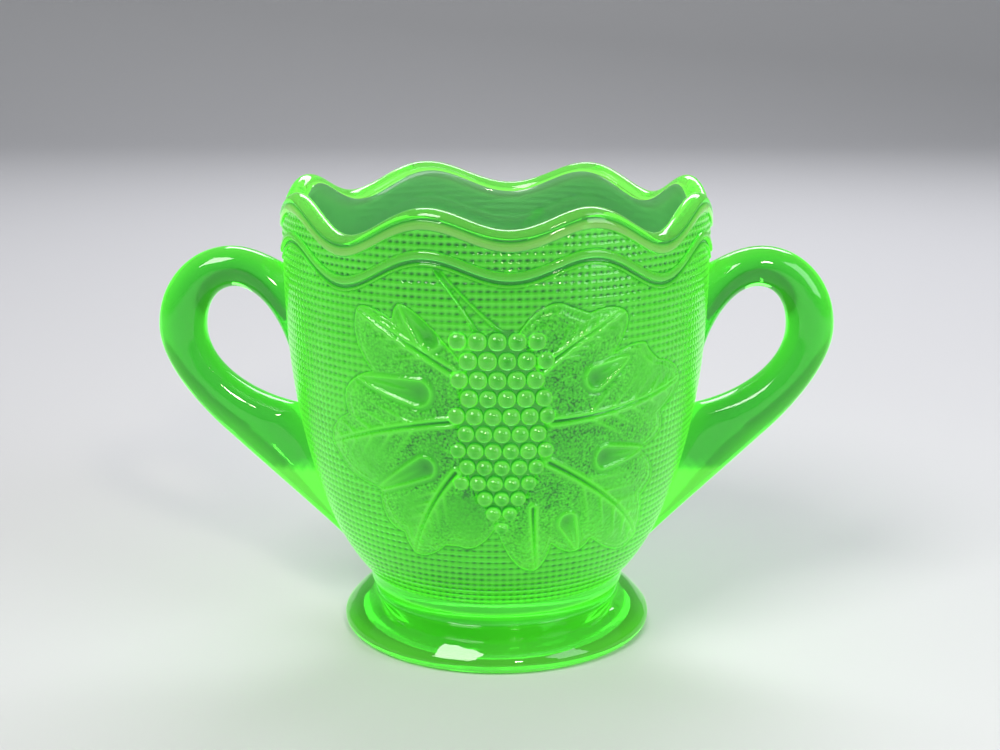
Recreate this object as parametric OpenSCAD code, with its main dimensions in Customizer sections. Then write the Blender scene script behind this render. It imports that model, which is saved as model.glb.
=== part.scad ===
// Footed two-handled sugar bowl in pressed uranium glass: scalloped rim, wavy ribbon,
// a bunch of grapes on a vine leaf front and back, two ear handles and a hollow foot.
// Millimetres. Origin at the centre of the foot's resting ring, +Z up, +X through the
// right handle, -Y through the front motif. Angles run from the front towards +X.

/* [Bowl] */
// Outer radius of the straight upper side
side_r = 46.4; // [44:0.1:50]
// Outer radius at the neck, where the bowl meets the foot
neck_r = 29; // [27:0.1:31]
// Height of the neck above the table
neck_z = 14; // [13:0.5:16]
// Height at which the side becomes straight
shoulder_z = 93; // [90:1:96]
// Extra fullness of the lower curve
belly = 1.2; // [0.8:0.1:1.6]
// Inner radius of the straight upper side
inner_r = 42.3; // [40:0.1:43]
// Height of the inside floor
floor_z = 16; // [15.5:0.5:18]

/* [Rim] */
// Mean height of the crest of the rim
rim_z = 98; // [94:0.5:104]
// Height of the scallops above and below the mean
scallop_h = 2.7; // [1:0.1:4]
// Number of scallops round the rim
scallops = 8; // [6:1:10]
// Sag of the front side lobes, as on a rim bent by hand
front_sag = 1.5; // [0:0.1:2]
// Turn of the lobes towards the right handle at front and back, degrees
lobe_skew = 3.4; // [0:0.1:5]
// Spread of the rear lobes towards the handles, degrees
lobe_spread = 9; // [0:0.5:10]
// Outer radius of the smooth rim band
band_r = 47.1; // [46.8:0.1:48]
// Depth of the smooth band below the crest
band_h = 4.2; // [3:0.1:5]
// Height of the joint plane between bowl and rim
rim_joint_z = 86.5; // [86:0.5:88]

/* [Ribbon] */
// Distance of the ribbon's upper edge below the crest
ribbon_drop = 8; // [7.5:0.1:9]
// Width of the ribbon
ribbon_w = 3.2; // [2.5:0.1:3.5]
// Height of the ribbon above the wall
ribbon_h = 0.8; // [0.5:0.1:1]

/* [Foot] */
// Outer radius of the foot
foot_r = 34.9; // [33:0.1:37]
// Radius of the rounded edge of the foot
foot_edge_r = 2.1; // [1.8:0.1:2.4]
// Radius of the crease between collar and flange
crease_r = 27.7; // [27:0.1:28.5]
// Height of the crease between collar and flange
crease_z = 8.3; // [7.5:0.1:9]
// Height of the fine ridge round the collar
ridge_z = 11.4; // [10.5:0.1:12.5]
// Fullness of the flange's upper face
flange_swell = 1; // [0:0.1:1.2]
// Radius of the hollow under the foot, at the table
hollow_r = 27; // [24:0.5:28]
// Depth of the hollow under the foot
hollow_h = 9.5; // [7:0.5:10]

/* [Handles] */
// Reach of a handle from the bowl's axis
handle_x = 75; // [72:0.5:78]
// Height of the top of a handle
handle_top_z = 86.5; // [84:0.5:88]
// Reach of the finger hole from the bowl's axis
hole_x = 64.4; // [62:0.2:66]
// Height of the top of the finger hole
hole_top_z = 77.6; // [75:0.2:79]
// Half thickness of a handle, front to back, at its outermost point
handle_half_t = 4.6; // [4:0.1:5.5]

/* [Vine motif] */
// Sideways place of the bunch and the leaf's centre, along the wall
motif_s = 1.2; // [-3:0.1:3]
// Height of the leaf's centre
leaf_z = 57.5; // [55:0.5:60]
// Height of the leaf's surface above the wall
leaf_h = 0.9; // [0.5:0.1:1.2]
// Height of the top row of grapes
bunch_top_z = 75.2; // [74:0.2:76]
// Diameter of a grape in the top row
grape_d = 3.7; // [3:0.1:3.8]
// How far the middle grapes stand out from the wall
grape_h = 2.1; // [1.5:0.1:2.5]

/* [Hidden] */

glass = "#4FE23C";
glass_edge = "#7CF35A";
glass_deep = "#2FB43A";

ring_steps = 96;                      // points round the rim and the ribbon
face_gap = 0.05;                      // clearance under relief whose base is made of flats
grape_rows = [5, 5, 5, 5, 6, 5, 6, 5, 5, 3, 2, 1];
handle_steps = 7;                     // rings along each stretch of a handle
handle_sides = 20;                    // points round a handle
// Leaf outline, anticlockwise: direction and reach of each tip, and of the notch after it
// (degrees, mm). The reach of 7 lies under the grapes, where the leaf is open above the bunch.
leaf_tips = [[40, 34.5], [63, 28], [106, 7], [131, 32.5], [143, 38.4], [174, 36],
             [190, 43], [220, 37], [233, 38], [251, 29.5], [285, 35], [306, 36.5],
             [322, 50.5], [338, 43], [354, 40], [367, 45], [385, 35.5]];
leaf_notches = [[52, 29], [93, 7], [119, 7], [136.5, 31], [160, 29.5], [180, 35.5],
                [208.5, 33], [226, 35.5], [243, 31], [267, 22.5], [295, 30], [311, 36],
                [332, 42], [346.5, 34], [359, 38.5], [377, 38], [391, 27.5]];
leaf_sectors = 120;
leaf_rings = 6;

// ---- shared shape rules ----

// Outer radius of the wall at height z
function wall_r(z) = let (t = (min(z, shoulder_z) - neck_z) / (shoulder_z - neck_z))
    neck_r + (side_r - neck_r) * (1 - pow(1 - t, 3) + belly * t * pow(1 - t, 8));

// Radius of the bowl's hollow at height z
function hollow_wall_r(z) = let (t = min(1, (z - floor_z) / (shoulder_z - floor_z)))
    inner_r * pow(1 - pow(1 - t, 3), 1 / 3);

// Height of the rim's crest at angle a
function crest_z(a) =
    let (turn = lobe_skew * cos(a) - lobe_spread * sin(a) * (1 - cos(a)) / 2)
    rim_z + scallop_h * cos(scallops * (a - turn) - 180)
    + front_sag * max(0, cos(a)) * cos(scallops / 2 * (a - lobe_skew));

// A point at angle a, radius r and height z
function on_ring(a, r, z) = [r * sin(a), -r * cos(a), z];

// A point s along the wall from the front, at height z, standing h proud of the wall
function on_wall(s, z, h) = on_ring(s / side_r * 180 / PI, wall_r(z) + h, z);

function bezier(p, t) = pow(1 - t, 3) * p[0] + 3 * t * pow(1 - t, 2) * p[1]
    + 3 * t * t * (1 - t) * p[2] + pow(t, 3) * p[3];

function arc(cx, cz, r, a0, a1, n) =
    [for (i = [0 : n]) let (a = a0 + (a1 - a0) * i / n) [cx + r * cos(a), cz + r * sin(a)]];

// Closed tube through rings of points. The rings close on themselves if looped is true,
// and otherwise the first and last ring are capped.
module loft(rings, looped) {
    m = len(rings);
    n = len(rings[0]);
    side_faces = [for (i = [0 : looped ? m - 1 : m - 2], j = [0 : n - 1])
        let (k = (i + 1) % m, l = (j + 1) % n)
        each [[i * n + j, i * n + l, k * n + l], [i * n + j, k * n + l, k * n + j]]];
    caps = looped ? [] : [[for (j = [n - 1 : -1 : 0]) j], [for (j = [0 : n - 1]) (m - 1) * n + j]];
    polyhedron([for (r = rings) each r], concat(side_faces, caps), convexity = 6);
}

// ---- bowl, rim and ribbon ----

// Everything inside the outer wall
module wall_envelope() {
    steps = 36;
    rotate_extrude($fn = 180)
        polygon(concat([[0, neck_z]],
            [for (i = [0 : steps]) let (u = i / steps, z = neck_z + (rim_joint_z - neck_z) * u * sqrt(u))
                [wall_r(z), z]],
            [[0, rim_joint_z]]));
}

module bowl_hollow() {
    steps = 24;
    rotate_extrude($fn = 180)
        polygon(concat([[0, floor_z]],
            [for (i = [0 : steps]) let (u = i / steps, z = floor_z + (rim_joint_z - floor_z) * u * u * u)
                [hollow_wall_r(z), z]],
            [[inner_r, rim_joint_z + 1], [0, rim_joint_z + 1]]));
}

module bowl() {
    color(glass)
        difference() {
            wall_envelope();
            bowl_hollow();
        }
}

// Section of the rim at angle a: up the inside, over the crest and down the outside
function rim_section(a) =
    let (z = crest_z(a), rise = 2, half = (band_r - inner_r) / 2 - 0.4, mid = band_r - half)
    concat([[hollow_wall_r(rim_joint_z), rim_joint_z], [inner_r, z - 6]],
        [for (i = [0 : 6]) let (b = 180 - 30 * i) [mid + half * cos(b), z - rise + rise * sin(b)]],
        [[band_r, z - band_h + 0.4], [side_r, z - band_h], [wall_r(rim_joint_z), rim_joint_z]]);

module rim() {
    color(glass_edge)
        loft([for (i = [0 : ring_steps - 1]) let (a = 360 * i / ring_steps)
            [for (p = rim_section(a)) on_ring(a, p[0], p[1])]], true);
}

// Section of the ribbon at angle a: a rounded ridge above a shallow cove
function ribbon_section(a) =
    let (top = crest_z(a) - ribbon_drop, low = top - ribbon_w)
    [[face_gap, low], [face_gap, top], [ribbon_h * 0.75, top - ribbon_w * 0.1],
     [ribbon_h, top - ribbon_w * 0.28], [ribbon_h * 0.7, top - ribbon_w * 0.46],
     [ribbon_h * 0.3, top - ribbon_w * 0.7], [ribbon_h * 0.45, top - ribbon_w * 0.92]];

module ribbon() {
    color(glass_edge)
        loft([for (i = [0 : ring_steps - 1]) let (a = 360 * i / ring_steps)
            [for (p = ribbon_section(a)) on_ring(a, wall_r(p[1]) + p[0], p[1])]], true);
}

// ---- foot ----

module foot() {
    edge_x = foot_r - foot_edge_r;
    edge_turn = 40;                   // where the flange leaves the round of the edge, degrees
    edge_end = arc(edge_x, foot_edge_r, foot_edge_r, edge_turn, edge_turn, 1)[0];
    ridge_r = neck_r - 0.3;
    ledge = [ridge_r - 0.35, ridge_z - 0.25];
    color(glass_edge)
        rotate_extrude($fn = 180)
            polygon(concat(
                [[0, neck_z], [neck_r, neck_z], [ridge_r, ridge_z], ledge],
                [for (i = [1 : 5]) let (u = i / 5)
                    [crease_r + (ledge[0] - crease_r) * (1 - u) * (1 - u),
                     ledge[1] + (crease_z - ledge[1]) * u]],
                [for (i = [1 : 5]) let (u = i / 6)
                    [crease_r + (edge_end[0] - crease_r) * u,
                     crease_z + (edge_end[1] - crease_z) * u + flange_swell * sin(180 * u)]],
                arc(edge_x, foot_edge_r, foot_edge_r, edge_turn, -90, 12),
                [[hollow_r, 0], [hollow_r - 2, 1]],
                [for (i = [1 : 8]) let (b = 90 * i / 8)
                    [(hollow_r - 2) * cos(b), 1 + (hollow_h - 1) * sin(b)]]));
}

// ---- handles ----

// Stretches of the outer and the inner edge of a handle, from the upper joint to the tail.
// Each pair of curves is walked together, and a section spans from one to the other.
handle_mid_z = 68.5;
tail_top = [60, 43.8];
tail_end = [34, 19];
handle_outer = [
    [[41, 80], [43, 81], [44.5, 81.7], [46, 82.2]],
    [[46, 82.2], [50, 84.3], [54, handle_top_z], [58.5, handle_top_z]],
    [[58.5, handle_top_z], [67.6, handle_top_z], [handle_x, handle_mid_z + 10], [handle_x, handle_mid_z]],
    [[handle_x, handle_mid_z], [handle_x, 61], [68.2, 51.5], tail_top],
    [tail_top, tail_top * 2 / 3 + tail_end / 3, tail_top / 3 + tail_end * 2 / 3, tail_end]];
handle_inner = [
    [[41, 61], [42.5, 60.5], [44, 60], [45.2, 60]],
    [[45.2, 60], [46.5, 68], [51.5, hole_top_z - 0.3], [57.6, hole_top_z]],
    [[57.6, hole_top_z], [61.8, hole_top_z], [hole_x, 74], [hole_x, handle_mid_z]],
    [[hole_x, handle_mid_z], [hole_x, 60], [55, 53], [44.5, 50.8]],
    [[44.5, 50.8], [40, 45], [35, 34], [30, 18]]];
// Half thickness, front to back, at the start and the end of each stretch
handle_half = [6, 5.6, handle_half_t, handle_half_t, 5.4, 3];

function handle_ring(i, t) =
    let (o = bezier(handle_outer[i], t), p = bezier(handle_inner[i], t),
         c = (o + p) / 2, d = (o - p) / 2,
         half = handle_half[i] + (handle_half[i + 1] - handle_half[i]) * (3 * t * t - 2 * t * t * t))
    [for (j = [0 : handle_sides - 1]) let (b = 360 * j / handle_sides, q = c + d * cos(b))
        [q[0], half * sin(b), q[1]]];

module handle() {
    stretches = len(handle_outer);
    rings = [for (i = [0 : stretches - 1]) let (n = i == 0 ? 2 : handle_steps)
        each [for (k = [(i == 0 ? 0 : 1) : n]) handle_ring(i, k / n)]];
    difference() {
        loft(rings, false);
        wall_envelope();
    }
}

module handle_right() {
    color(glass)
        handle();
}

module handle_left() {
    color(glass)
        mirror([1, 0, 0])
            handle();
}

// ---- vine motif ----

// Height of a row of grapes: the rows close up a little towards the tip
function row_z(i) = bunch_top_z - 3.95 * i + 0.03 * i * i;

// Sideways shift of a row, in grapes: the full rows at the top lie in bond like bricks, and
// one row near the tip leans to the left
function row_shift(i) = i < 4 ? (i % 2 == 0 ? -0.25 : 0.25) : i == 8 ? -0.4 : 0;

// One grape: a dome that stands on the wall at angle a and height z
module grape(a, z, d, h) {
    lean = atan((wall_r(z + 1) - wall_r(z - 1)) / 2);
    translate(on_ring(a, wall_r(z), z))
        rotate([0, 0, a])
            rotate([90 + lean, 0, 0])
                rotate_extrude($fn = 24)
                    polygon(concat([[0, 0]], [for (i = [0 : 6]) [d / 2 * cos(15 * i), h * sin(15 * i)]]));
}

module grape_bunch() {
    color(glass_deep)
        for (i = [0 : len(grape_rows) - 1], j = [0 : grape_rows[i] - 1]) {
            d = grape_d - 0.06 * i;
            across = j - (grape_rows[i] - 1) / 2 + row_shift(i);
            a = (motif_s / side_r + across * (d + 0.15) / wall_r(row_z(i))) * 180 / PI;
            grape(a, row_z(i), d, grape_h - 0.09 * across * across);
        }
}

// Reach of the leaf in direction b, 0 to 360: it falls in a curve from a tip to each notch
function leaf_reach(b) =
    let (n = len(leaf_tips), last = leaf_notches[n - 1] - [360, 0], d = b < last[0] ? b + 360 : b)
    max([for (i = [0 : n - 1])
        let (tip = leaf_tips[i],
             notch = d > tip[0] ? leaf_notches[i] : i == 0 ? last : leaf_notches[i - 1],
             u = (d - tip[0]) / (notch[0] - tip[0]))
        u > 1 ? 0 : tip[1] - (tip[1] - notch[1]) * pow(u, 1.8)]);

// Reach of the gap left for the grapes, an oval round the bunch
function bunch_reach(b) = 1 / sqrt(pow(cos(b) / 10.8, 2) + pow(sin(b) / 21.6, 2));

function leaf_point(b, u, h) =
    let (inner = bunch_reach(b), r = inner + (max(leaf_reach(b), inner + 1) - inner) * u)
    on_wall(motif_s + r * cos(b), leaf_z + r * sin(b), h);

module leaf() {
    color(glass)
        loft([for (k = [0 : leaf_sectors - 1]) let (b = 360 * k / leaf_sectors)
            concat([for (i = [0 : leaf_rings]) let (u = i / leaf_rings)
                    leaf_point(b, u, leaf_h * (1 - 0.6 * pow(u, 4)))],
                [for (i = [leaf_rings : -1 : 0]) leaf_point(b, i / leaf_rings, face_gap)])], true);
}

// Stem: a tapered strip from the ribbon down to the bunch
stem_top = [-11.6, 88];
stem_low = [-0.8, 77.8];

module stem() {
    steps = 6;
    color(glass_deep)
        loft([for (i = [0 : steps])
            let (u = i / steps, c = stem_top + (stem_low - stem_top) * u, w = 0.9 + 1.7 * u * u)
            [on_wall(c[0] + w, c[1], face_gap),
             on_wall(c[0] + w * 0.8, c[1], 0.7),
             on_wall(c[0], c[1], 0.4),
             on_wall(c[0] - w * 0.8, c[1], 0.7),
             on_wall(c[0] - w, c[1], face_gap)]], false);
}

module to_back() {
    rotate([0, 0, 180])
        children();
}

bowl();
rim();
ribbon();
foot();
handle_left();
handle_right();
grape_bunch();  // grapes_front
to_back() grape_bunch();  // grapes_back
leaf();  // leaf_front
to_back() leaf();  // leaf_back
stem();  // stem_front
to_back() stem();  // stem_back
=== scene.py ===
import math

import bpy
import numpy as np
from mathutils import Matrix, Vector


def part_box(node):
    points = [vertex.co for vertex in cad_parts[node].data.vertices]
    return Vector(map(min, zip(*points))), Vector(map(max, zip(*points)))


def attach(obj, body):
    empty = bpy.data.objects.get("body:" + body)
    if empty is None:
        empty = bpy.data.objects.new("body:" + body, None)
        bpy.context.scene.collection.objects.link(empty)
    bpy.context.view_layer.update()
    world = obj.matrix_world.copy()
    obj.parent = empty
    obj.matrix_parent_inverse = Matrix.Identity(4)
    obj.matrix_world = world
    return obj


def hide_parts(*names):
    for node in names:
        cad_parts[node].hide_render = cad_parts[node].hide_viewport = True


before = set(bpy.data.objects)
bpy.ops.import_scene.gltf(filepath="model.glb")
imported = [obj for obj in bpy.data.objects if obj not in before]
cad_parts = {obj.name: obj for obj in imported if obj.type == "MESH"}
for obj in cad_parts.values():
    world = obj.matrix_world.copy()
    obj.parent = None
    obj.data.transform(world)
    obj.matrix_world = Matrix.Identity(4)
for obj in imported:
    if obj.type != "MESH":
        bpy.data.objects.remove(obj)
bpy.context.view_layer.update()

MM = 0.001


def box_mm(node):
    low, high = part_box(node)
    return np.array(low) / MM, np.array(high) / MM


# ---- sizes taken from the CAD nodes ----

bowl_low, bowl_high = box_mm("bowl")
rim_high = box_mm("rim")[1]
foot_high = box_mm("foot")[1]
handle_high = box_mm("handle_right")[1]

NECK_Z = bowl_low[2]            # joint between the foot and the bowl
JOINT_Z = bowl_high[2]          # joint between the bowl and the rim
BAND_R = rim_high[0]            # outer radius of the smooth band under the crest
FOOT_R = foot_high[0]
HANDLE_X = handle_high[0]
HANDLE_TOP_Z = handle_high[2]

# ---- shape rules shared with the CAD ----

SIDE_R = BAND_R - 0.7           # radius of the wall at the shoulder
NECK_R = 29.0
SHOULDER_Z = 93.0
BELLY = 1.2                     # fullness of the lower curve of the wall
INNER_R = 42.3
FLOOR_Z = 16.0
RIM_Z = 98.0                    # mean height of the crest
SCALLOPS = 8
SCALLOP_H = 2.7
FRONT_SAG = 1.5
LOBE_SKEW = 3.4
LOBE_SPREAD = 9.0
BAND_H = 4.2                    # smooth band, from the crest down
CREST_RISE = 1.96               # full round of the crest, above its creases
RIBBON_DROP = 8.0
RIBBON_W = 3.2
RIBBON_H = 0.8
CREASE_R = 27.7
CREASE_Z = 8.3
RIDGE_Z = 11.4                  # fine ridge round the foot's collar
FLANGE_SWELL = 1.0              # fullness of the flange's upper face
FOOT_EDGE_R = 2.1
HOLLOW_R = 27.0
HOLLOW_H = 9.5
MOTIF_S = 1.2                   # middle of the relief, along the wall from the front
LEAF_Z = 57.5
LEAF_H = 0.9
BUNCH_TOP_Z = 75.2
GRAPE_D = 3.7
GRAPE_GAP = 0.15                # between neighbours in a row
GRAPE_ROW_DROP = 3.95           # from row to row near the top of the bunch
GRAPE_H = 2.1

# ---- surface detail ----

BEADS_ROUND = 192
BEAD_ROWS = 48                  # from the foot to the joint with the rim
BEAD_H = 0.30
BEAD_STEPS = 4                  # mesh cells along each side of a bead
BEAD_RISE = (JOINT_Z - NECK_Z) / BEAD_ROWS
COLUMNS = BEADS_ROUND * BEAD_STEPS
PIT_DEEPER_Z = 78.0             # above this the pits between the beads deepen
SINK = 0.12                     # depth of relief undersides below the wall
# A handle's tail below this height is painted brighter.
TAIL_Z = 37.2                   # top of the bright tail of a handle

# Material slots of every piece
SKIN, JOINT, INSIDE, SMOOTH = 0, 1, 2, 3

GRAPE_ROWS = [5, 5, 5, 5, 6, 5, 6, 5, 5, 3, 2, 1]
LEANING_ROW = 8                 # a row near the tip that leans to the left
# Leaf outline, anticlockwise: direction and reach of each tip, and of the notch after it.
# The reach of 7 lies under the grapes, where the leaf is open above the bunch.
LEAF_TIPS = [(40, 34.5), (63, 28), (106, 7), (131, 32.5), (143, 38.4), (174, 36),
             (190, 43), (220, 37), (233, 38), (251, 29.5), (285, 35), (306, 36.5),
             (322, 50.5), (338, 43), (354, 40), (367, 45), (385, 35.5)]
LEAF_NOTCHES = [(52, 29), (93, 7), (119, 7), (136.5, 31), (160, 29.5), (180, 35.5),
                (208.5, 33), (226, 35.5), (243, 31), (267, 22.5), (295, 30), (311, 36),
                (332, 42), (346.5, 34), (359, 38.5), (377, 38), (391, 27.5)]
# Main veins as start, bend and tip, in mm along and up the wall
VEINS = [((-8.9, 69.2), (-18.0, 74.6), (-29.0, 80.1)),
         ((-9.3, 58.6), (-24.0, 56.6), (-41.2, 49.7)),
         ((-8.6, 47.6), (-15.0, 40.4), (-21.2, 27.9)),
         ((8.3, 39.5), (8.6, 33.0), (10.5, 24.4)),
         ((11.2, 49.7), (28.0, 40.5), (41.0, 28.0)),
         ((11.5, 58.6), (26.0, 59.0), (44.0, 63.2)),
         ((8.9, 69.4), (15.0, 74.6), (26.0, 80.0))]
# Polished hollows in the leaf as round end, tail end and radius
HOLLOWS = [((-15.8, 64.2), (-29.5, 66.0), 2.5),
           ((-15.4, 48.3), (-27.7, 41.8), 2.1),
           ((20.6, 67.0), (27.6, 70.2), 2.2),
           ((24.3, 49.5), (34.3, 49.6), 2.3),
           ((16.9, 35.6), (20.8, 28.8), 1.9),
           ((-13.4, 76.0), (-19.3, 82.3), 2.6)]
STEM_TOP = (-11.6, 89.0)
STEM_LOW = (-1.7, 77.2)
STEM_FORK = 0.33                # how far down the stem its two ridges part
STEM_GAP = 0.48                 # inner edge of each ridge, as a share of the half width
STEM_SINK = 0.3                 # depth of the stem's underside below the wall


# ---- shape functions ----

def wall_r(z):
    t = (np.minimum(z, SHOULDER_Z) - NECK_Z) / (SHOULDER_Z - NECK_Z)
    t = np.maximum(t, 0)
    return NECK_R + (SIDE_R - NECK_R) * (1 - (1 - t) ** 3 + BELLY * t * (1 - t) ** 8)


def hollow_wall_r(z):
    t = np.clip((z - FLOOR_Z) / (SHOULDER_Z - FLOOR_Z), 0, 1)
    return INNER_R * np.cbrt(1 - (1 - t) ** 3)


def crest_z(a):
    rad = np.radians(a)
    turn = LOBE_SKEW * np.cos(rad) - LOBE_SPREAD * np.sin(rad) * (1 - np.cos(rad)) / 2
    wave = SCALLOP_H * np.cos(np.radians(SCALLOPS * (a - turn) - 180))
    sag = FRONT_SAG * np.maximum(0, np.cos(rad)) * np.cos(np.radians(SCALLOPS / 2 * (a - LOBE_SKEW)))
    return RIM_Z + wave + sag


def on_ring(a, r, z):
    """Points at angle a, radius r and height z."""
    rad = np.radians(a)
    a, r, z = np.broadcast_arrays(rad, r, z)
    return np.stack([r * np.sin(a), -r * np.cos(a), z], axis=-1)


def on_wall(s, z, h, turn=0):
    """Points s along the wall from the front, at height z, standing h proud of it."""
    return on_ring(np.degrees(s / SIDE_R) + turn, wall_r(z) + h, z)


def bump(distance, width):
    """A rounded ridge of height 1 across the distance from its line."""
    return np.exp(-(distance / width) ** 2)


def lot(seed):
    """A number from 0 to 1 that looks random but is the same on every run."""
    value = np.sin(seed) * 43758.5453
    return value - np.floor(value)


def grain(x, y, cell, seed):
    """Smooth random grain from 0 to 1, the same on every run."""
    gx, gy = x / cell, y / cell
    ix, iy = np.floor(gx), np.floor(gy)
    fx, fy = gx - ix, gy - iy
    fx, fy = fx * fx * (3 - 2 * fx), fy * fy * (3 - 2 * fy)

    def at(i, j):
        return lot(i * 127.1 + j * 311.7 + seed * 74.7)

    low = at(ix, iy) * (1 - fx) + at(ix + 1, iy) * fx
    high = at(ix, iy + 1) * (1 - fx) + at(ix + 1, iy + 1) * fx
    return low * (1 - fy) + high * fy


def linen(a, z):
    """The grid of small pressed beads: about 1 on the beads, 0 in the dash-like pits below them.

    Each half of the mould has its own grid, centred on its relief, with one pitch from top to
    bottom. The halves meet under the handles.
    """
    across = np.radians((a + 90) % 180 - 90) * wall_r(z)
    column = across * BEADS_ROUND / (2 * math.pi * SIDE_R)
    row = (z - NECK_Z) / BEAD_RISE
    upright = np.abs(np.cos(np.pi * column))
    level = np.abs(np.cos(np.pi * row)) ** 3.5
    # Every pit has its own depth, and the pits near the rim are deeper.
    pit = 0.35 + 0.3 * lot(np.round(column) * 12.9898 + np.round(row) * 78.233)
    pit = pit * (1 + 0.4 * np.clip((z - PIT_DEEPER_Z) / 8, 0, 1))
    return 1 - 0.34 * level - 0.12 * upright ** 4 - pit * level * upright


def leaf_reach(b):
    """Reach of the leaf in direction b: it falls in a curve from a tip to each notch."""
    before = (LEAF_NOTCHES[-1][0] - 360, LEAF_NOTCHES[-1][1])
    turned = np.asarray(b) % 360
    turned = np.where(turned < before[0], turned + 360, turned)
    reach = np.zeros_like(turned)
    for tip, after in zip(LEAF_TIPS, LEAF_NOTCHES):
        for notch in (before, after):
            u = (turned - tip[0]) / (notch[0] - tip[0])
            fall = tip[1] - (tip[1] - notch[1]) * np.clip(u, 0, 1) ** 1.8
            reach = np.where((u >= 0) & (u <= 1), fall, reach)
        before = after
    return reach


def bunch_reach(b):
    """Reach of the gap in the leaf, an oval that the outer grapes cover."""
    rad = np.radians(b)
    return 1 / np.sqrt((np.cos(rad) / 8.6) ** 2 + (np.sin(rad) / 19.0) ** 2)


def polar(s, z):
    """Direction and distance of wall points from the middle of the leaf."""
    return np.degrees(np.arctan2(z - LEAF_Z, s - MOTIF_S)), np.hypot(s - MOTIF_S, z - LEAF_Z)


def leaf_edge(b):
    return np.maximum(leaf_reach(b), bunch_reach(b) + 1)


def along_line(s, z, start, end):
    """Position along a straight line, 0 to 1, and the distance from it."""
    d = np.subtract(end, start)
    t = np.clip(((s - start[0]) * d[0] + (z - start[1]) * d[1]) / d.dot(d), 0, 1)
    return t, np.hypot(s - start[0] - t * d[0], z - start[1] - t * d[1])


def along_curve(s, z, points, steps=12):
    """Position along a curve through start, bend and tip, and the distance from it."""
    p = [np.array(q) for q in points]
    best_t, best_d = np.zeros_like(s), np.full_like(s, 1e3)
    for k in range(steps):
        ends = [(1 - u) ** 2 * p[0] + 2 * u * (1 - u) * p[1] + u * u * p[2]
                for u in (k / steps, (k + 1) / steps)]
        t, d = along_line(s, z, *ends)
        nearer = d < best_d
        best_t = np.where(nearer, (k + t) / steps, best_t)
        best_d = np.where(nearer, d, best_d)
    return best_t, best_d


def vein_relief(s, z):
    """Height of the veins and how far each point is taken up by one."""
    height, polish = np.zeros_like(s), np.zeros_like(s)
    for vein in VEINS:
        t, d = along_curve(s, z, vein)
        half = 0.85 - 0.45 * t
        pair = (0.5 - 0.2 * t) * bump(d - half, 0.46) - 0.4 * (1 - 0.6 * t) * bump(d, 0.34)
        height += pair
        polish = np.maximum(polish, bump(np.maximum(d - half, 0), 0.6))
        start, tip = np.array(vein[0]), np.array(vein[2])
        run = tip - start
        for u in (0.24, 0.4, 0.55, 0.7, 0.84):
            root = (1 - u) ** 2 * start + 2 * u * (1 - u) * np.array(vein[1]) + u * u * tip
            for side in (-1, 1):
                turn = math.radians(36 * side)
                way = np.array([run[0] * math.cos(turn) - run[1] * math.sin(turn),
                                run[0] * math.sin(turn) + run[1] * math.cos(turn)])
                way *= 0.45 * (1.15 - u)
                t, d = along_line(s, z, root, root + way)
                clear = np.clip(t * np.hypot(*way) - 0.8, 0, 1)      # starts beside the main vein
                height += 0.42 * clear * (1 - t) * bump(d, 0.36)
                polish = np.maximum(polish, clear * (1 - t) * bump(d, 0.6))
    return height, polish


def hollow_relief(s, z):
    """Depth of the polished hollows, and how far each point is taken up by one."""
    height, polish = np.zeros_like(s), np.zeros_like(s)
    for head, tail, radius in HOLLOWS:
        t, d = along_line(s, z, head, tail)
        reach = radius * (1 - t) ** 0.8 + 0.15
        inside = np.clip(1 - d / reach, 0, 1)
        # A raised lip with a fine groove outside it, the hollow itself, and a rib down its middle.
        height += 0.34 * bump(d - reach - 0.1, 0.36) - 0.2 * bump(d - reach - 1.0, 0.3)
        height -= 0.5 * inside ** 0.7 * (1 - 0.8 * t)
        height += 0.36 * np.sin(math.pi * t) * bump(d, 0.42)
        polish = np.maximum(polish, np.clip((reach + 1.4 - d) / 0.5, 0, 1))
    return height, polish


def leaf_height(s, z):
    """Height of the leaf's upper face above the wall, its tone of painted light and shade, and how sandy it
    is.
    """
    b, r = polar(s, z)
    hole, edge = bunch_reach(b), leaf_edge(b)
    u = np.clip((r - hole) / (edge - hole), 0, 1)
    veins, vein_polish = vein_relief(s, z)
    hollows, hollow_polish = hollow_relief(s, z)
    plain = 1 - np.maximum(vein_polish, hollow_polish)
    rough = ((grain(s, z, 0.62, 1) - 0.5) * 0.14 + (grain(s, z, 3.1, 2) - 0.5) * 0.24) * plain
    lip = 0.16 * bump(edge - r - 0.6, 0.35) + 0.12 * bump(edge - r - 2.6, 0.4) * plain
    body = LEAF_H * (1 - 0.6 * u ** 4) - 0.1 + lip + veins + hollows + rough
    # The leaf sinks to the wall at its outer edge, under the grapes, and above the bunch.
    fall = np.clip((edge - r) / 0.7, 0, 1) ** 0.5 * np.clip((r - hole) / 1.5, 0, 1)
    fall = np.where(leaf_reach(b) < hole + 1, 0, fall)
    height = (np.maximum(body, 0.16) + SINK / 2) * fall - SINK / 2
    # Painted light and shade from the relief: brighter outwards, on the veins' ridges, the lips and the
    # grain, darker in the vein grooves and the hollows, and dark at the very edge.
    tone = 0.27 + 0.42 * u + 1.3 * veins + hollows * np.where(hollows < 0, 0.65, 1.2)
    tone += 1.5 * lip + 0.8 * rough
    tone = np.where(edge - r < 0.3, 0.1, tone)
    sandy = np.clip(2.4 * grain(s, z, 6.5, 3) - 0.3, 0.3, 1) * plain
    sandy = sandy * np.clip((edge - r - 0.8) / 0.5, 0, 1)
    return height, np.clip(tone, 0, 1), sandy


def stem_half(u):
    return 0.9 + 2.3 * u * u


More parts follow.
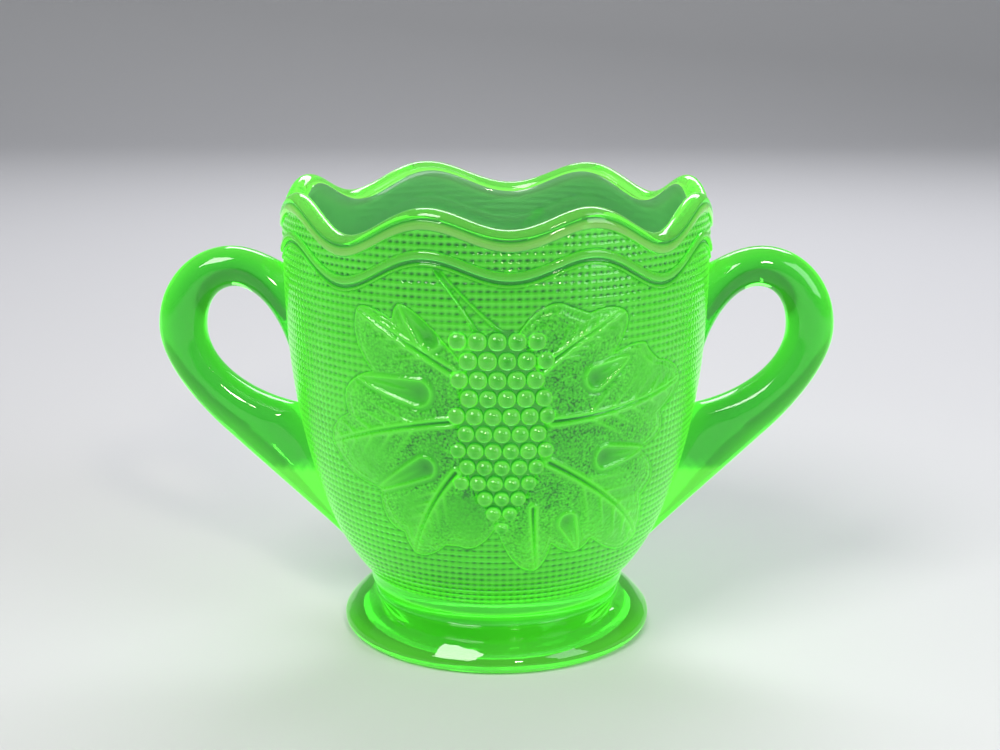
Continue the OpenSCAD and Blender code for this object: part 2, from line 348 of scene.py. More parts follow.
def grape_places():
    """Each grape as angle, height, diameter and rise."""
    places = []
    for i, count in enumerate(GRAPE_ROWS):
        # The rows close up and the grapes shrink a little towards the tip.
        z = BUNCH_TOP_Z - GRAPE_ROW_DROP * i + 0.03 * i * i
        d = GRAPE_D - 0.06 * i
        if i < 4:
            shift = -0.25 if i % 2 == 0 else 0.25
        else:
            shift = -0.4 if i == LEANING_ROW else 0
        for j in range(count):
            across = j - (count - 1) / 2 + shift
            a = math.degrees(MOTIF_S / SIDE_R + across * (d + GRAPE_GAP) / float(wall_r(z)))
            places.append((a, z, d, GRAPE_H - 0.09 * across * across))
    return places


def motif_s(a):
    """Distance along the wall from the middle of the nearer relief, front or back."""
    return np.radians((a + 90) % 180 - 90) * SIDE_R


def relief_cover(a, z, margin):
    """True where the leaf, the bunch or the stem lies on the wall, at least margin inside it."""
    s = motif_s(a)
    b, r = polar(s, z)
    on_leaf = (r < leaf_edge(b) - margin) & (r > bunch_reach(b) + margin)
    t, d = along_line(s, z, STEM_TOP, STEM_LOW)
    half = stem_half(t) * 0.75
    in_fork = (t > STEM_FORK) & (d < half * STEM_GAP + margin)
    return on_leaf | ((d < half - margin) & ~in_fork)


def grape_cover(a, z, margin):
    covered = np.zeros(np.broadcast(a, z).shape, dtype=bool)
    s = motif_s(a)
    for place, height, d, _ in grape_places():
        at = math.radians(place) * SIDE_R
        near = ((s - at) * wall_r(height) / SIDE_R) ** 2 + (z - height) ** 2
        covered |= near < np.maximum(d / 2 - margin, 0) ** 2
    return covered


def ribbon_cover(a, z, margin):
    top = crest_z(a) - RIBBON_DROP
    return (z < top - margin) & (z > top - RIBBON_W + margin)


def wall_skin(a, z):
    """Height of the outer face over the wall, and its tone of painted light and shade: beads, and bare wall
    under relief.
    """
    s = motif_s(a)
    b, r = polar(s, z)
    bare = relief_cover(a, z, -0.15) | ribbon_cover(a, z, -0.1)
    bare |= (r < bunch_reach(b) + 0.2) & (z < BUNCH_TOP_Z + 2.0)
    beads = linen(a, z)
    # Painted light: the beads are painted brighter than the pits, the glow brightens towards the handles,
    # and it darkens towards the foot.
    tone = beads + 0.2 * (s / 60) ** 2 - 0.2 * np.clip((40 - z) / 20, 0, 1)
    return np.where(bare, 0.0, BEAD_H * beads - 0.04), np.where(bare, 0.2, tone)


# ---- mesh building ----

def make_piece(name, node, points, faces, slots, tone, sandy=0):
    """A mesh piece that replaces a CAD node, with a slot per face, and a tone of painted light and shade
    and a sand per point.
    """
    mesh = bpy.data.meshes.new(name)
    mesh.from_pydata((points * MM).tolist(), [], [list(f) for f in faces])
    mesh.polygons.foreach_set("material_index", np.asarray(slots, dtype=np.int32))
    for label, values in (("tone", tone), ("sandy", sandy)):
        attribute = mesh.attributes.new(label, "FLOAT", "POINT")
        attribute.data.foreach_set("value", np.broadcast_to(values, len(points)).astype(np.float32))
    mesh.shade_smooth()
    mesh.set_sharp_from_angle(angle=math.radians(60))
    mesh.update()
    piece = bpy.data.objects.new(name, mesh)
    bpy.context.scene.collection.objects.link(piece)
    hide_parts(node)
    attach(piece, "root")
    return piece


def ring_faces(rows, columns, looped=False):
    """Quads through rings of points that close on themselves, and through the rings if looped."""
    i, j = np.meshgrid(np.arange(rows if looped else rows - 1), np.arange(columns), indexing="ij")
    k, l = (i + 1) % rows, (j + 1) % columns
    return np.stack([i * columns + j, i * columns + l, k * columns + l, k * columns + j],
                    axis=-1).reshape(-1, 4)


def fan(ring, centre, flip):
    """Triangles from a ring of vertex numbers to a centre vertex."""
    after = np.roll(ring, -1)
    pairs = zip(after, ring) if flip else zip(ring, after)
    return [(int(p), int(q), centre) for p, q in pairs]


def wholly(hidden):
    """True for each quad whose four corners are all hidden."""
    pairs = hidden & np.roll(hidden, -1, axis=1)
    return (pairs[:-1] & pairs[1:]).reshape(-1)


# ---- the pieces ----

def bowl():
    """Bowl: beaded outer wall, plain hollow, and inner joints to the rim and the foot."""
    a = np.arange(COLUMNS) * 360 / COLUMNS
    outer_z = np.linspace(NECK_Z, JOINT_Z, BEAD_ROWS * BEAD_STEPS + 1)
    aa, zz = np.meshgrid(a, outer_z)
    height, skin_painted_light = wall_skin(aa, zz)
    outer = on_ring(aa, wall_r(zz) + height, zz)
    steps = 26
    u = np.linspace(1, 0, steps + 1)[:-1]
    inner_z = FLOOR_Z + (JOINT_Z - FLOOR_Z) * u ** 3
    ia, iz = np.meshgrid(a, inner_z)
    inner = on_ring(ia, hollow_wall_r(iz), iz)
    rings = np.concatenate([outer, inner])
    points = np.concatenate([rings.reshape(-1, 3), [[0, 0, FLOOR_Z], [0, 0, NECK_Z]]])
    quads = ring_faces(len(rings), COLUMNS)
    last = np.arange(COLUMNS) + (len(rings) - 1) * COLUMNS
    floor = fan(last, len(points) - 2, False)
    base = fan(np.arange(COLUMNS), len(points) - 1, True)
    # Wall faces wholly under relief, the ring at the rim and the disc at the foot are joints.
    hidden = relief_cover(aa, zz, 0.45) | ribbon_cover(aa, zz, 0.3) | grape_cover(aa, zz, 0.3)
    under = wholly(hidden)
    slots = np.full(len(quads) + 2 * COLUMNS, INSIDE)
    slots[:under.size] = np.where(under, JOINT, SKIN)
    seam = len(outer_z) - 1
    slots[seam * COLUMNS:(seam + 1) * COLUMNS] = JOINT
    slots[-COLUMNS:] = JOINT
    tone = np.full(len(points), 1.0)
    tone[:skin_painted_light.size] = skin_painted_light.reshape(-1)
    return make_piece("bowl_glass", "bowl", points, list(quads) + floor + base, slots, tone)


def rim():
    """Rim: beaded strip, smooth band and full round crest in eight scallops."""
    a = np.arange(COLUMNS) * 360 / COLUMNS
    crest = crest_z(a)
    half = (BAND_R - INNER_R) / 2 - 0.35
    mid = BAND_R - half - 0.05
    rings, joints, painted_light_rings = [], [], []
    strip = 30
    for k in range(strip + 1):
        z = JOINT_Z + (crest - BAND_H - 0.05 - JOINT_Z) * k / strip
        height, skin_painted_light = wall_skin(a, z)
        rings.append(on_ring(a, wall_r(z) + height, z))
        joints.append(ribbon_cover(a, z, 0.3))
        painted_light_rings.append(skin_painted_light)
    # Each ring's place from the crest and its tone: painted shade in the creases on both sides of a band
    # painted bright.
    band = [(-BAND_H - 0.02, -0.62, 0.0), (-BAND_H + 0.1, -0.22, 0.2), (-BAND_H + 0.35, -0.06, 0.95),
            (-3.3, 0.0, 0.95), (-2.7, -0.05, 0.95), (-2.25, -0.2, 0.5), (-2.05, -0.32, 0.0)]
    for drop, out, tone in band:
        rings.append(on_ring(a, BAND_R + out, crest + drop))
        painted_light_rings.append(np.full(COLUMNS, tone))
    # The crest is painted a little darker than the band, with a painted highlight along its top.
    crest_painted_light = [0.4] + [0.7] * 6 + [0.85] * 2 + [0.7] * 6
    for k, tone in enumerate(crest_painted_light, 1):
        b = math.pi * k / (len(crest_painted_light) + 1)
        rings.append(on_ring(a, mid + half * math.cos(b), crest - 2 + CREST_RISE * math.sin(b)))
        painted_light_rings.append(np.full(COLUMNS, tone))
    inside = [(-2.05, 0.18), (-2.3, 0.02), (-2.9, -0.1), (-3.8, -0.08), (-5.0, 0.0)]
    for drop, gain in inside:
        rings.append(on_ring(a, INNER_R + gain, crest + drop))
    fall = 8
    for k in range(1, fall + 1):
        z = (crest - 5.0) + (JOINT_Z - crest + 5.0) * k / fall
        rings.append(on_ring(a, INNER_R + (hollow_wall_r(JOINT_Z) - INNER_R) * (k / fall) ** 2, z))
    painted_light_rings += [np.ones(COLUMNS)] * (len(inside) + fall)
    rings = np.array(rings)
    quads = ring_faces(len(rings), COLUMNS, looped=True)
    slots = np.full(len(quads), INSIDE)
    slots[:(strip + len(band) + len(crest_painted_light) + 1) * COLUMNS] = SMOOTH
    under = wholly(np.array(joints))
    slots[:under.size] = np.where(under, JOINT, SKIN)
    slots[-COLUMNS:] = JOINT
    return make_piece("rim_glass", "rim", rings.reshape(-1, 3), quads, slots, np.concatenate(painted_light_rings))


def ribbon():
    """Ribbon: a rounded ridge above a smooth cove and a thin lower lip, in step with the crest."""
    columns = 960
    a = np.arange(columns) * 360 / columns
    top = crest_z(a) - RIBBON_DROP
    section = [(0.0, -SINK), (0.0, 0.1), (0.02, 0.4), (0.08, 0.66), (0.18, 0.77), (0.3, RIBBON_H),
               (0.42, 0.76), (0.5, 0.6), (0.54, 0.28), (0.6, 0.08), (0.7, 0.02), (0.77, 0.08),
               (0.81, 0.34), (0.86, 0.5), (0.92, 0.5), (0.97, 0.34), (1.0, 0.08), (1.0, -SINK)]
    rings = []
    for down, out in section:
        z = top - RIBBON_W * down
        rings.append(on_ring(a, wall_r(z) + out, z))
    rings = np.array(rings[::-1])
    quads = ring_faces(len(rings), columns, looped=True)
    slots = np.full(len(quads), SKIN)
    slots[-columns:] = JOINT
    # Painted light: the glow follows how far the section stands out, with painted shade in the cove and at
    # the wall.
    tone = np.repeat([np.clip(2.2 * out - 0.15, 0, 1) for _, out in section[::-1]], columns)
    return make_piece("ribbon_glass", "ribbon", rings.reshape(-1, 3), quads, slots, tone)


def foot():
    """Foot: collar with a fine ridge, crease, full flange with a round edge, hollow below."""
    columns = 288
    a = np.arange(columns) * 360 / columns
    edge_x = FOOT_R - FOOT_EDGE_R
    profile = [(HOLLOW_R - 2, 1.0), (HOLLOW_R - 1.2, 0.45), (HOLLOW_R - 0.4, 0.08), (HOLLOW_R + 0.6, 0.0)]
    profile += [(edge_x + FOOT_EDGE_R * math.cos(math.radians(b)),
                 FOOT_EDGE_R + FOOT_EDGE_R * math.sin(math.radians(b))) for b in range(-90, 41, 10)]
    end = profile[-1]
    flange = 10
    for k in range(1, flange):
        t = k / flange
        swell = FLANGE_SWELL * math.sin(math.pi * t)
        profile.append((end[0] + (CREASE_R - end[0]) * t, end[1] + (CREASE_Z - end[1]) * t + swell))
    profile += [(CREASE_R + 0.08, CREASE_Z + 0.02), (CREASE_R - 0.05, CREASE_Z + 0.22)]
    ledge_r, ledge_z = NECK_R - 0.65, RIDGE_Z - 0.25
    cove = 8
    for k in range(1, cove + 1):
        t = k / cove
        profile.append((CREASE_R - 0.05 + (ledge_r - CREASE_R + 0.05) * t * t,
                        CREASE_Z + 0.22 + (ledge_z - CREASE_Z - 0.22) * t))
    ridge_r = NECK_R - 0.3
    profile += [(ridge_r - 0.05, RIDGE_Z - 0.12), (ridge_r, RIDGE_Z + 0.1), (ridge_r - 0.08, RIDGE_Z + 0.5),
                (ridge_r - 0.05, RIDGE_Z + 1.3), (NECK_R, NECK_Z)]
    hollow = []
    for k in range(1, 14):
        b = math.radians(90 * k / 14)
        hollow.append(((HOLLOW_R - 2) * math.cos(b), 1 + (HOLLOW_H - 1) * math.sin(b)))
    profile = hollow[::-1] + profile
    rings = np.array([on_ring(a, r, z) for r, z in profile])
    points = np.concatenate([rings.reshape(-1, 3), [[0, 0, HOLLOW_H], [0, 0, NECK_Z]]])
    quads = ring_faces(len(rings), columns)
    under = fan(np.arange(columns), len(points) - 2, True)
    last = np.arange(columns) + (len(rings) - 1) * columns
    top = fan(last, len(points) - 1, False)
    on_flange = [r > HOLLOW_R + 1 and z < CREASE_Z - 0.05 for r, z in profile]
    slots = np.full(len(quads) + 2 * columns, SKIN)
    bands = [SMOOTH if here and above else SKIN for here, above in zip(on_flange, on_flange[1:])]
    slots[:len(quads)] = np.repeat(bands, columns)
    slots[-columns:] = JOINT
    # Painted light: the edge and the fine ridge are painted bright, and the flange and the cove are painted
    # a little darker.
    tone = np.full(len(points), 0.22)
    for k, (r, z) in enumerate(profile):
        ring = slice(k * columns, (k + 1) * columns)
        if r > CREASE_R + 0.1 and z < RIDGE_Z - 0.3:
            out = min(1, (r - CREASE_R) / (end[0] - CREASE_R))
            tone[ring] = 0.5 + 0.3 * out ** 4
        elif abs(z - RIDGE_Z - 0.1) < 0.3:
            tone[ring] = 0.8
        elif z > RIDGE_Z:
            tone[ring] = 0.32
        elif z > CREASE_Z and r > HOLLOW_R:
            tone[ring] = 0.32
    return make_piece("foot_glass", "foot", points, list(quads) + under + top, slots, tone)


def bezier(p, t):
    p = np.array(p, dtype=float)
    return (1 - t) ** 3 * p[0] + 3 * t * (1 - t) ** 2 * p[1] + 3 * t * t * (1 - t) * p[2] + t ** 3 * p[3]


def handle_curves():
    """Outer and inner edge of a handle, stretch by stretch, from the upper joint to the tail."""
    hole_x, hole_top = 64.4, 77.6
    mid_z = HANDLE_TOP_Z - 18
    tail_top, tail_end = np.array([60, 43.8]), np.array([34, 19.0])
    outer = [[(46, 82.2), (50, 84.3), (54, HANDLE_TOP_Z), (58.5, HANDLE_TOP_Z)],
             [(58.5, HANDLE_TOP_Z), (67.6, HANDLE_TOP_Z), (HANDLE_X, mid_z + 10), (HANDLE_X, mid_z)],
             [(HANDLE_X, mid_z), (HANDLE_X, 61), (68.2, 51.5), tail_top],
             [tail_top, tail_top * 2 / 3 + tail_end / 3, tail_top / 3 + tail_end * 2 / 3, tail_end]]
    inner = [[(45.2, 60), (46.5, 68), (51.5, hole_top - 0.3), (57.6, hole_top)],
             [(57.6, hole_top), (61.8, hole_top), (hole_x, 74), (hole_x, mid_z)],
             [(hole_x, mid_z), (hole_x, 60), (55, 53), (44.5, 50.8)],
             [(44.5, 50.8), (40, 45), (35, 34), (30, 18)]]
    halves = [5.6, 4.6, 4.6, 5.4, 3]
    return outer, inner, halves


def handle_painted_light(b, z):
    """Painted light along the edges and in the tail, and painted shade on the broad faces."""
    across = np.cos(b)
    edges = 0.1 + 0.8 * np.maximum(across, 0) ** 2 + 0.4 * np.maximum(-across, 0) ** 3
    tail = np.clip((TAIL_Z - z) / 0.9, 0, 1)
    return edges + (1 - edges) * tail


def handle(side, name, node):
    """Handle: a flattened oval bar that springs from the wall and runs down into a tail."""
    outer, inner, halves = handle_curves()
    steps, sides = 26, 56
    b = np.radians(np.arange(sides) * 360 / sides)
    rings = []
    for i, (o_edge, i_edge) in enumerate(zip(outer, inner)):
        for k in range(0 if i == 0 else 1, steps + 1):
            t = k / steps
            o, p = bezier(o_edge, t), bezier(i_edge, t)
            half = halves[i] + (halves[i + 1] - halves[i]) * (3 * t * t - 2 * t ** 3)
            c, d = (o + p) / 2, (o - p) / 2
            ring = np.stack([c[0] + d[0] * np.cos(b), half * np.sin(b), c[1] + d[1] * np.cos(b)], axis=-1)
            rings.append(ring)
    rings = np.array(rings)
    # Points inside the wall come out to just under its face, and the first ring lies on it.
    skin = np.sqrt(np.maximum((wall_r(rings[..., 2]) - 2 * SINK) ** 2 - rings[..., 1] ** 2, 0))
    buried = rings[..., 0] < skin
    rings[..., 0] = np.where(buried, skin, rings[..., 0])
    rings[0, :, 0] = skin[0]
    rings = rings[:-1]
    first, last = rings[0].mean(axis=0), rings[-1].mean(axis=0)
    points = np.concatenate([rings.reshape(-1, 3), [first, last]])
    points[:, 0] *= side
    quads = ring_faces(len(rings), sides)
    root = fan(np.arange(sides), len(points) - 2, True)
    tail = fan(np.arange(sides) + (len(rings) - 1) * sides, len(points) - 1, False)
    faces = list(quads) + root + tail
    if side > 0:
        faces = [tuple(f)[::-1] for f in faces]
    slots = np.full(len(faces), SKIN)
    slots[len(quads):] = JOINT
    tone = np.append(handle_painted_light(b, rings[..., 2]), [0.4, 0.4])
    return make_piece(name, node, points, faces, slots, tone)


def leaf(name, node, turn):
    """Leaf: seven stippled lobes round the bunch, with double veins and polished hollows."""
    sectors, steps = 840, 98
    b = np.arange(sectors) * 360 / sectors
    inner, edge = bunch_reach(b), leaf_edge(b)
    rad = np.radians(b)
    open_top = leaf_reach(b) < inner + 1
    rings, painted_light_rings, sands, hidden = [], [], [], []
    for k in range(steps + 1):
        r = inner + (edge - inner) * k / steps
        s, z = MOTIF_S + r * np.cos(rad), LEAF_Z + r * np.sin(rad)
        height, tone, sandy = leaf_height(s, z)
        rings.append(on_wall(s, z, height, turn))
        painted_light_rings.append(tone)
        sands.append(sandy)
        hidden.append(open_top | grape_cover(np.degrees(s / SIDE_R), z, 0.25))
    bottom = 8
    for k in range(bottom, -1, -1):
        r = inner + (edge - inner) * k / bottom
        s, z = MOTIF_S + r * np.cos(rad), LEAF_Z + r * np.sin(rad)
        rings.append(on_wall(s, z, -SINK, turn))
        painted_light_rings.append(np.zeros(sectors))
        sands.append(np.zeros(sectors))
    rings = np.array(rings)
    quads = ring_faces(len(rings), sectors, looped=True)
    # The underside, and the upper face where a grape stands on it, are joints.
    slots = np.full(len(quads), JOINT)
    slots[:steps * sectors] = np.where(wholly(np.array(hidden)), JOINT, SKIN)
    return make_piece(name, node, rings.reshape(-1, 3), quads[:, ::-1], slots,
                      np.concatenate(painted_light_rings), np.concatenate(sands))


def grapes(name, node, turn):
    """Bunch: fifty-three separate domes in rows, a little square in plan near the top."""
    around, rise = 28, 9
    phi = np.radians(np.arange(around) * 360 / around)
    all_points, all_faces, all_slots, all_painted_light = [], [], [], []
    count = 0
    for n, (a, z0, d, h) in enumerate(grape_places()):
        # The grapes differ a little in size and depth of colour.
        chance = float(lot(n * 12.9898 + 4.1))
        d *= 1 - 0.07 * chance
        power = 2.0 + 0.45 * (z0 - 34) / 42
        plan = (np.abs(np.cos(phi)) ** power + np.abs(np.sin(phi)) ** power) ** (-1 / power)
        lean = math.atan(float(wall_r(z0 + 1) - wall_r(z0 - 1)) / 2)
        rings = []
        for k in range(rise + 1):
            tilt = math.radians(90 * k / (rise + 0.6))
            r = d / 2 * 1.08 * math.cos(tilt) ** 0.95
            local_x, local_z = plan * r * np.cos(phi), plan * r * np.sin(phi)
            local_h = h * math.sin(tilt) if k > 0 else -SINK
            # Each grape stands square to the wall's slope.
            up_z = local_z * math.cos(lean) - local_h * math.sin(lean)
            out_r = local_z * math.sin(lean) + local_h * math.cos(lean)
            turn_rad = math.radians(a + turn)
            radius = float(wall_r(z0)) + out_r
            x = radius * math.sin(turn_rad) + local_x * math.cos(turn_rad)
            y = -radius * math.cos(turn_rad) + local_x * math.sin(turn_rad)
            rings.append(np.stack([x, y, z0 + up_z], axis=-1))
        rings = np.array(rings)
        tip, base = rings[-1].mean(axis=0), rings[0].mean(axis=0)
        tip = tip + (tip - base) * 0.004
        points = np.concatenate([rings.reshape(-1, 3), [tip, base]])
        quads = ring_faces(len(rings), around)
        cap = fan(np.arange(around) + rise * around, len(points) - 2, False)
        under = fan(np.arange(around), len(points) - 1, True)
        faces = [tuple(int(v) + count for v in f) for f in list(quads) + cap + under]
        all_points.append(points)
        all_faces += faces
        all_slots += [SKIN] * (len(faces) - around) + [JOINT] * around
        # Painted shade at the wall, then a painted bright ring, and a little darker again at the crown.
        rise_painted_light = np.interp(np.arange(rise + 1), [0, 1, 2, 3, rise],
                               [0.0, 0.05, 0.4, 1.0, 0.62 - 0.3 * chance])
        all_painted_light += [*np.repeat(rise_painted_light, around), rise_painted_light[-1], 0.0]
        count += len(points)
    return make_piece(name, node, np.concatenate(all_points), all_faces, all_slots, all_painted_light)


def stem(name, node, turn):
    """Stem: two ridges that part on the way down, with the linen ground between them."""
    steps = 64
    side = [(1.0, -STEM_SINK), (1.0, 0.1), (0.94, 0.5), (0.82, 0.78), (0.68, 0.72), (0.56, 0.42),
            (STEM_GAP, 0.2), (0.0, 0.2)]
    section = side + [(-x, h) for x, h in side[-2::-1]]
    rings, heights = [], []
    for k in range(steps + 1):
        u = k / steps
        s = STEM_TOP[0] + (STEM_LOW[0] - STEM_TOP[0]) * u
        z = STEM_TOP[1] + (STEM_LOW[1] - STEM_TOP[1]) * u
        fade = min(1, 6 * u + 0.3, 6 * (1 - u) + 0.2)
        parted = min(1, max(0, (u - STEM_FORK) / 0.06 + 0.5))
        ring, levels = [], []
        for x, h in section:
            level = h * fade if h > 0 else h
            if abs(x) <= STEM_GAP:
                level += (-STEM_SINK - level) * parted
            ring.append(on_wall(np.array(s + x * stem_half(u)), np.array(z), level, turn))
            levels.append(level)
        rings.append(ring)
        heights.append(levels)
    rings, heights = np.array(rings), np.array(heights)
    sides = len(section)
    first, last = rings[0].mean(axis=0), rings[-1].mean(axis=0)
    points = np.concatenate([rings.reshape(-1, 3), [first, last]])
    quads = ring_faces(len(rings), sides)
    ends = fan(np.arange(sides), len(points) - 2, True)
    ends += fan(np.arange(sides) + steps * sides, len(points) - 1, False)
    # The underside, and what lies sunk between the parted ridges, are joints.
    slots = np.full(len(quads) + 2 * sides, SKIN)
    slots[:len(quads)] = np.where(wholly(heights < 0.001 - STEM_SINK), JOINT, SKIN)
    # Painted light: the ridges are painted brighter the higher they stand.
    tone = np.append(np.clip(0.3 + 0.8 * heights, 0, 1), [0.5, 0.5])
    return make_piece(name, node, points, list(quads) + ends, slots, tone)


# ---- materials ----

STREAK_SCALE = 30               # slow streaks in the glass, and how far they shift the tone
STREAKS = 0.18
SAND_SCALE = 1900               # grains of the leaf's stipple
# Glow colours of the painted light: painted shade in the grooves, and the glow on plain faces.
GLOW_PAINTED_SHADE_IN_GROOVES = (0.025, 0.20, 0.04)
GLOW_ON_FACES = (0.075, 0.64, 0.02)


def object_noise(nodes, links, scale, detail):
    """Fine noise laid out in the object's own space."""
    place = nodes.new("ShaderNodeTexCoord")
    noise = nodes.new("ShaderNodeTexNoise")
    noise.inputs["Scale"].default_value = scale
    noise.inputs["Detail"].default_value = detail
    links.new(place.outputs["Object"], noise.inputs["Vector"])
    return noise.outputs["Fac"]


def noise_bump(nodes, links, scale, distance, below=None):
    """A bump from fine noise, laid over another bump if one is given."""
    relief = nodes.new("ShaderNodeBump")
    relief.inputs["Strength"].default_value = 1
    relief.inputs["Distance"].default_value = distance
    links.new(object_noise(nodes, links, scale, 3), relief.inputs["Height"])
    if below is not None:
        links.new(below.outputs["Normal"], relief.inputs["Normal"])
    return relief


def spread(nodes, links, value, low, high):
    """A value from 0 to 1 spread out to run from low to high."""
    node = nodes.new("ShaderNodeMapRange")
    node.inputs["To Min"].default_value = low
    node.inputs["To Max"].default_value = high
    links.new(value, node.inputs["Value"])
    return node.outputs["Result"]


def combine(nodes, links, operation, first, second):
    node = nodes.new("ShaderNodeMath")
    node.operation = operation
    links.new(first, node.inputs[0])
    links.new(second, node.inputs[1])
    return node.outputs["Value"]


def point_value(nodes, label):
    """A value that the mesh carries at each point."""
    node = nodes.new("ShaderNodeAttribute")
    node.attribute_name = label
    return node.outputs["Fac"]


def ramp_between(nodes, stops):
    """A colour ramp through (position, colour) stops."""
    ramp = nodes.new("ShaderNodeValToRGB")
    elements = ramp.color_ramp.elements
    elements[0].position, elements[1].position = stops[0][0], stops[-1][0]
    elements[0].color, elements[1].color = (*stops[0][1], 1), (*stops[-1][1], 1)
    for position, colour in stops[1:-1]:
        elements.new(position).color = (*colour, 1)
    return ramp


def painted_light_with_streaks_and_sand(nodes, links, sand):
    """The relief's painted light and shade, with slow streaks in the melt and fine grains where the leaf is
    sandy.
    """
    streaks = spread(nodes, links, object_noise(nodes, links, STREAK_SCALE, 2), -STREAKS, STREAKS)
    tone = combine(nodes, links, "ADD", point_value(nodes, "tone"), streaks)
    if sand > 0:
        grains = spread(nodes, links, object_noise(nodes, links, SAND_SCALE, 2), -sand, sand)
        grains = combine(nodes, links, "MULTIPLY", grains, point_value(nodes, "sandy"))
        tone = combine(nodes, links, "ADD", tone, grains)
    return tone


def uranium_glass(name, tint, glow, rough, bumps, groove_shade=0.12, ridge=(0.17, 1.0, 0.05), sand=0, coat=0):
    """Green glass with a painted glow: tinted refraction and a glow that both follow the relief's painted
    light and shade.
    """
    mat = bpy.data.materials.new(name)
    mat.use_nodes = True
    mat.cycles.emission_sampling = "NONE"
    nodes, links = mat.node_tree.nodes, mat.node_tree.links
    shader = nodes["Principled BSDF"]
    shader.inputs["Transmission Weight"].default_value = 1
    shader.inputs["IOR"].default_value = 1.5
    shader.inputs["Emission Strength"].default_value = glow
    shader.inputs["Coat Weight"].default_value = coat
    shader.inputs["Coat Roughness"].default_value = 0.03
    tone = painted_light_with_streaks_and_sand(nodes, links, sand)
    # Painted light: the glow runs from painted shade in the grooves to a painted highlight on the ridges.
    light = ramp_between(nodes, [(0.0, GLOW_PAINTED_SHADE_IN_GROOVES), (0.45, GLOW_ON_FACES), (1.0, ridge)])
    links.new(tone, light.inputs["Fac"])
    links.new(light.outputs["Color"], shader.inputs["Emission Color"])
    # The tint is painted darker in the grooves as well, as painted shade.
    body = ramp_between(nodes, [(0.0, [c * groove_shade for c in tint]), (0.4, [c * 0.8 for c in tint]),
                                (0.9, tint)])
    links.new(tone, body.inputs["Fac"])
    links.new(body.outputs["Color"], shader.inputs["Base Color"])
    # Handling marks make the gloss uneven.
    marks = spread(nodes, links, object_noise(nodes, links, 160, 4), rough * 0.6, rough * 1.5)
    links.new(marks, shader.inputs["Roughness"])
    below = None
    for scale, distance in bumps:
        below = noise_bump(nodes, links, scale, distance, below)
    links.new(below.outputs["Normal"], shader.inputs["Normal"])
    return mat


def joint_clear():
    """Inner joints of the one piece of glass: nothing shows there."""
    mat = bpy.data.materials.new("joint_clear")
    mat.use_nodes = True
    nodes, links = mat.node_tree.nodes, mat.node_tree.links
    nodes.remove(nodes["Principled BSDF"])
    clear = nodes.new("ShaderNodeBsdfTransparent")
    links.new(clear.outputs["BSDF"], nodes["Material Output"].inputs["Surface"])
    return mat


def pale_paper():
    mat = bpy.data.materials.new("pale_floor")
    mat.use_nodes = True
    nodes, links = mat.node_tree.nodes, mat.node_tree.links
    shader = nodes["Principled BSDF"]
    shader.inputs["Base Color"].default_value = (0.56, 0.56, 0.57, 1)
    shader.inputs["Roughness"].default_value = 0.55
    relief = noise_bump(nodes, links, 900, 0.00003)
    links.new(relief.outputs["Normal"], shader.inputs["Normal"])
    return mat


# ---- stage, light and camera, in metres ----

ROOM_AT_HORIZON = (0.47, 0.5, 0.57)
ROOM_ABOVE = (0.88, 0.92, 1.0)


def floor_sweep():
    """A floor that curves up into a backdrop."""
    width, near, far, bend, height = 12.0, -12.0, 1.1, 0.5, 1.8
    side = [(near, 0.0), (far, 0.0)]
    side += [(far + bend * math.sin(math.radians(b)), bend * (1 - math.cos(math.radians(b))))
             for b in range(6, 91, 6)]
    side.append((far + bend, height))
    points = [(x, y, z) for y, z in side for x in (-width, width)]
    faces = [(2 * k, 2 * k + 1, 2 * k + 3, 2 * k + 2) for k in range(len(side) - 1)]
    mesh = bpy.data.meshes.new("floor_sweep")
    mesh.from_pydata(points, [], faces)
    mesh.shade_smooth()
    obj = bpy.data.objects.new("floor_sweep", mesh)
    bpy.context.scene.collection.objects.link(obj)
    mesh.materials.append(pale_paper())


def softbox(name, place, aim, width, height, power, colour):
    light = bpy.data.lights.new(name, "AREA")
    light.shape = "RECTANGLE"
    light.size = width
    light.size_y = height
    light.energy = power
    light.color = colour
    obj = bpy.data.objects.new(name, light)
    obj.location = place
    way = np.subtract(aim, place)
    flat = math.hypot(way[0], way[1])
    obj.rotation_euler = (math.atan2(flat, -way[2]), 0, math.atan2(way[1], way[0]) - math.pi / 2)
    bpy.context.scene.collection.objects.link(obj)


def soft_room():
    """Soft light from all round, deeper near the horizon, where it comes close to the far floor's tone."""
    world = bpy.data.worlds.new("soft_room")
    world.use_nodes = True
    nodes, links = world.node_tree.nodes, world.node_tree.links
    background = nodes["Background"]
    background.inputs["Strength"].default_value = 0.32
    place = nodes.new("ShaderNodeTexCoord")
    split = nodes.new("ShaderNodeSeparateXYZ")
    links.new(place.outputs["Generated"], split.inputs["Vector"])
    rise = ramp_between(nodes, [(0.05, ROOM_AT_HORIZON), (0.3, ROOM_ABOVE)])
    links.new(split.outputs["Z"], rise.inputs["Fac"])
    links.new(rise.outputs["Color"], background.inputs["Color"])
    bpy.context.scene.world = world


def studio_lights():
    middle = (0, 0, 0.05)
    softbox("key", (-0.45, -0.6, 0.85), middle, 0.45, 0.45, 9, (1.0, 0.98, 0.94))
    softbox("fill", (0.7, -0.45, 0.45), middle, 0.4, 0.6, 3.5, (0.9, 0.94, 1.0))
    softbox("back", (0.15, 0.75, 0.75), middle, 0.9, 0.3, 7, (0.95, 0.95, 1.0))
    softbox("glint", (0.25, -0.8, 0.55), middle, 0.1, 0.1, 2.2, (1.0, 0.93, 0.72))


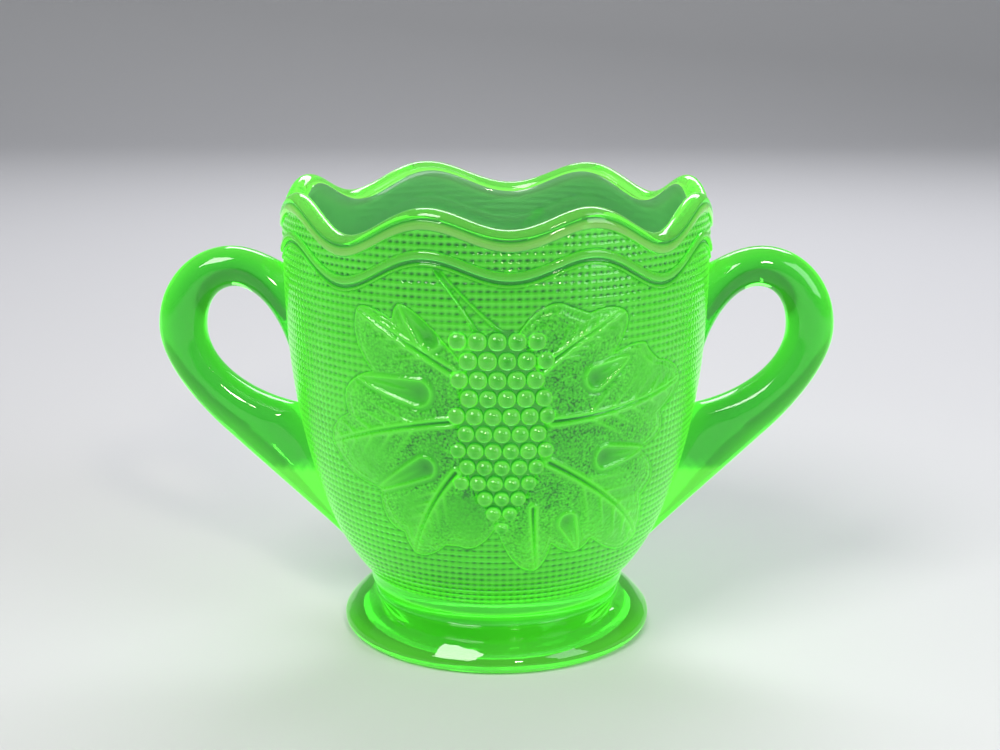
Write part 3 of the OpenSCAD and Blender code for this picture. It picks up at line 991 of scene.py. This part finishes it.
def camera():
    """The camera stands where the photographer did: low, close and looking down a little."""
    lens_mm, film_mm = 57.6, 36.0
    pitch_down = 0.2395
    place = (0.00077, -0.34883, 0.14241)
    data = bpy.data.cameras.new("camera")
    data.lens = lens_mm
    data.sensor_width = film_mm
    data.clip_start = 0.01
    obj = bpy.data.objects.new("camera", data)
    obj.location = place
    obj.rotation_euler = (math.pi / 2 - pitch_down, 0, 0)
    bpy.context.scene.collection.objects.link(obj)
    bpy.context.scene.camera = obj


def dress(pieces, skin, smooth):
    """Gives pieces their outer glass, and the glass of their joints, inside and smooth parts."""
    for piece in pieces:
        for material in (skin, joint, inner_glass, smooth):
            piece.data.materials.append(material)


# ---- the scene ----

joint = joint_clear()
linen_glass = uranium_glass("linen_glass", (0.06, 0.60, 0.04), 0.46, 0.05, [(420, 0.00004)])
polished_glass = uranium_glass("polished_glass", (0.07, 0.72, 0.05), 0.31, 0.02, [(60, 0.00035)],
                               groove_shade=0.6, ridge=(0.25, 1.0, 0.08))
# A paler copy of the polished glass for the band and the crest: its paler glow is a painted reflection.
crest_painted_reflection_glass = uranium_glass("crest_painted_reflection_glass", (0.12, 0.68, 0.08), 0.34, 0.02, [(60, 0.00035)],
                           groove_shade=0.6, ridge=(0.50, 0.98, 0.20))
inner_glass = uranium_glass("inner_glass", (0.105, 0.22, 0.21), 0.04, 0.62, [(60, 0.0002)],
                            ridge=(0.35, 0.75, 0.6), coat=1)
leaf_glass = uranium_glass("leaf_glass", (0.06, 0.54, 0.04), 0.50, 0.06, [(1500, 0.0001)], sand=1.1)
grape_glass = uranium_glass("grape_glass", (0.06, 0.68, 0.06), 0.42, 0.02, [(140, 0.0001)],
                            ridge=(0.28, 1.0, 0.12))

dress([bowl()], linen_glass, polished_glass)
dress([rim()], linen_glass, crest_painted_reflection_glass)
dress([foot()], linen_glass, polished_glass)
dress([ribbon(),
       handle(1, "handle_right_glass", "handle_right"),
       handle(-1, "handle_left_glass", "handle_left"),
       stem("stem_front_glass", "stem_front", 0),
       stem("stem_back_glass", "stem_back", 180)], polished_glass, polished_glass)
dress([leaf("leaf_front_glass", "leaf_front", 0),
       leaf("leaf_back_glass", "leaf_back", 180)], leaf_glass, polished_glass)
dress([grapes("grapes_front_glass", "grapes_front", 0),
       grapes("grapes_back_glass", "grapes_back", 180)], grape_glass, polished_glass)

floor_sweep()
soft_room()
studio_lights()
camera()

view = bpy.context.scene.view_settings
view.view_transform = "Standard"
bounces = bpy.context.scene.cycles
bounces.max_bounces = 18
bounces.transmission_bounces = 18
bounces.glossy_bounces = 8
bounces.transparent_max_bounces = 16
